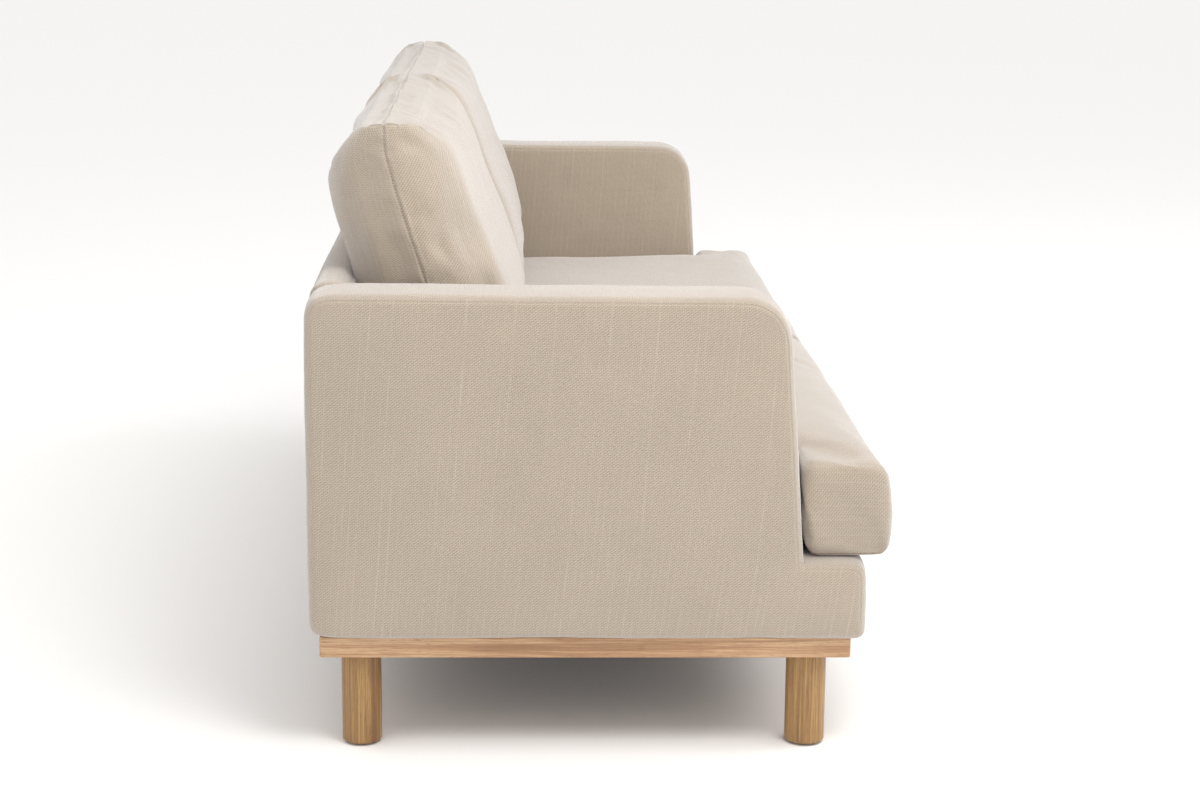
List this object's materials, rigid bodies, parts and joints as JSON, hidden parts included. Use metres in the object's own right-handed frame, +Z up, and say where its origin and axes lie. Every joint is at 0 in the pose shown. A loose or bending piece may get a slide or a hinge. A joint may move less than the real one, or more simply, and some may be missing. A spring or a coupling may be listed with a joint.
{
  "type": "sofa",
  "caption": "Upholstered sofa with a slim back and arms, loose T-shaped seat cushions and tall back cushions, on an oak plinth with short round legs.",
  "frame": {"origin": "on the floor, in the middle of the sofa's footprint box", "axes": "+Z up, -Y towards the front, +X to the right as seen from in front"},
  "size_m": [2, 0.82, 0.886],
  "materials": {
    "fabric": "coarse oatmeal upholstery weave with pale slubs, matt",
    "oak": "pale oak, thin satin lacquer",
    "pine": "sawn softwood, unfinished",
    "hardboard": "brown hardboard, smooth",
    "foam": "cream polyurethane foam",
    "fibre": "white polyester fibre in a cambric liner",
    "lining": "black non-woven lining",
    "webbing": "brown elastic webbing",
    "steel": "zinc plated",
    "nylon": "dark moulded nylon"
  },
  "bodies": {
    "frame": {"leg_front_left": "oak", "glide_front_left": "nylon", "leg_bolt_front_left": "steel", "corner_block_front_left": "pine", "leg_rear_left": "oak", "glide_rear_left": "nylon", "leg_bolt_rear_left": "steel", "corner_block_rear_left": "pine", "plinth_left": "oak", "base_rail_left": "pine", "arm_post_left": "pine", "rear_post_left": "pine", "arm_rail_left": "pine", "side_panel_left": "hardboard", "arm_cover_left": "fabric", "leg_front_right": "oak", "glide_front_right": "nylon", "leg_bolt_front_right": "steel", "corner_block_front_right": "pine", "leg_rear_right": "oak", "glide_rear_right": "nylon", "leg_bolt_rear_right": "steel", "corner_block_rear_right": "pine", "plinth_right": "oak", "base_rail_right": "pine", "arm_post_right": "pine", "rear_post_right": "pine", "arm_rail_right": "pine", "side_panel_right": "hardboard", "arm_cover_right": "fabric", "plinth_front": "oak", "plinth_rear": "oak", "base_rail_front": "pine", "base_rail_rear": "pine", "base_rail_centre": "pine", "webbing_strap_1": "webbing", "webbing_strap_2": "webbing", "webbing_strap_3": "webbing", "webbing_strap_4": "webbing", "webbing_strap_5": "webbing", "webbing_strap_6": "webbing", "back_rail_top": "pine", "back_rail_lower": "pine", "back_post_centre": "pine", "back_cover": "fabric", "front_border_cover": "fabric", "deck_cover": "lining", "dust_cover": "lining"},
    "seat_cushion_left": {"seat_cushion_cover_left": "fabric", "seat_zip_left": "nylon", "seat_foam_left": "foam"},
    "back_cushion_left": {"back_cushion_cover_left": "fabric", "back_zip_left": "nylon", "back_fill_left": "fibre"},
    "seat_cushion_right": {"seat_cushion_cover_right": "fabric", "seat_zip_right": "nylon", "seat_foam_right": "foam"},
    "back_cushion_right": {"back_cushion_cover_right": "fabric", "back_zip_right": "nylon", "back_fill_right": "fibre"}
  },
  "joints": [
    {"name": "seat_cushion_left_slide", "type": "slide", "parent": "frame", "child": "seat_cushion_left", "axis": [0, -1, 0], "range_m": [0, 0.72]},
    {"name": "seat_cushion_right_slide", "type": "slide", "parent": "frame", "child": "seat_cushion_right", "axis": [0, -1, 0], "range_m": [0, 0.72]},
    {"name": "back_cushion_left_lift", "type": "slide", "parent": "frame", "child": "back_cushion_left", "axis": [0, 0, 1], "range_m": [0, 0.5]},
    {"name": "back_cushion_right_lift", "type": "slide", "parent": "frame", "child": "back_cushion_right", "axis": [0, 0, 1], "range_m": [0, 0.5]}
  ]
}
